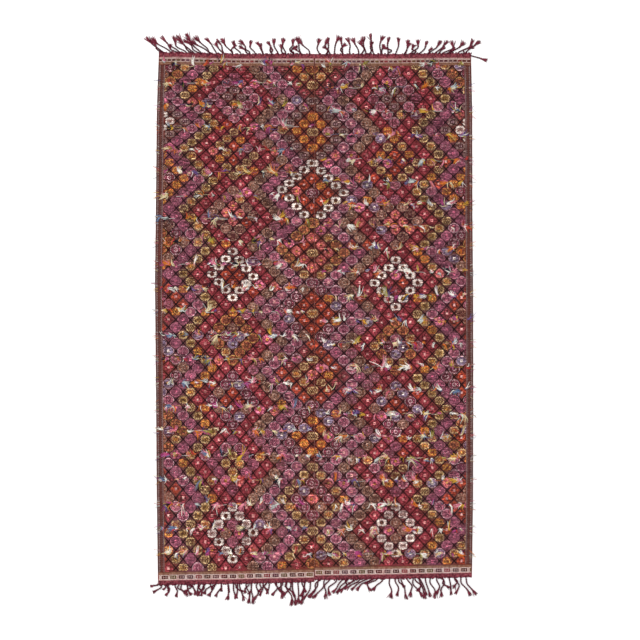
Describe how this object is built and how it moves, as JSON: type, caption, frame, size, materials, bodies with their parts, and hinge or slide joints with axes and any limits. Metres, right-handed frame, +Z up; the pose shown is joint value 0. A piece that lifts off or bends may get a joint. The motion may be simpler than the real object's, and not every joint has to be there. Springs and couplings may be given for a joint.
{
  "type": "flat-woven rug",
  "caption": "Long flat-woven wool rug of two sewn loom widths, brocaded with a diamond lattice of small medallions, with loose yarn tufts on its face and knotted cord fringe at both ends.",
  "frame": {"origin": "middle of the underside of everything that lies on the floor", "axes": "+X across the rug to its right as seen from above, +Y along the rug to its top end, +Z up from the floor"},
  "size_m": [1.6386, 2.7516, 0.0089],
  "materials": {
    "brocade": "matte wool brocade",
    "fringe": "matte plied wool"
  },
  "bodies": {
    "root": {"panel_left": "brocade", "panel_right": "brocade", "fringe_top_left": "fringe", "fringe_top_right": "fringe", "fringe_bottom_left": "fringe", "fringe_bottom_right": "fringe"}
  },
  "joints": []
}
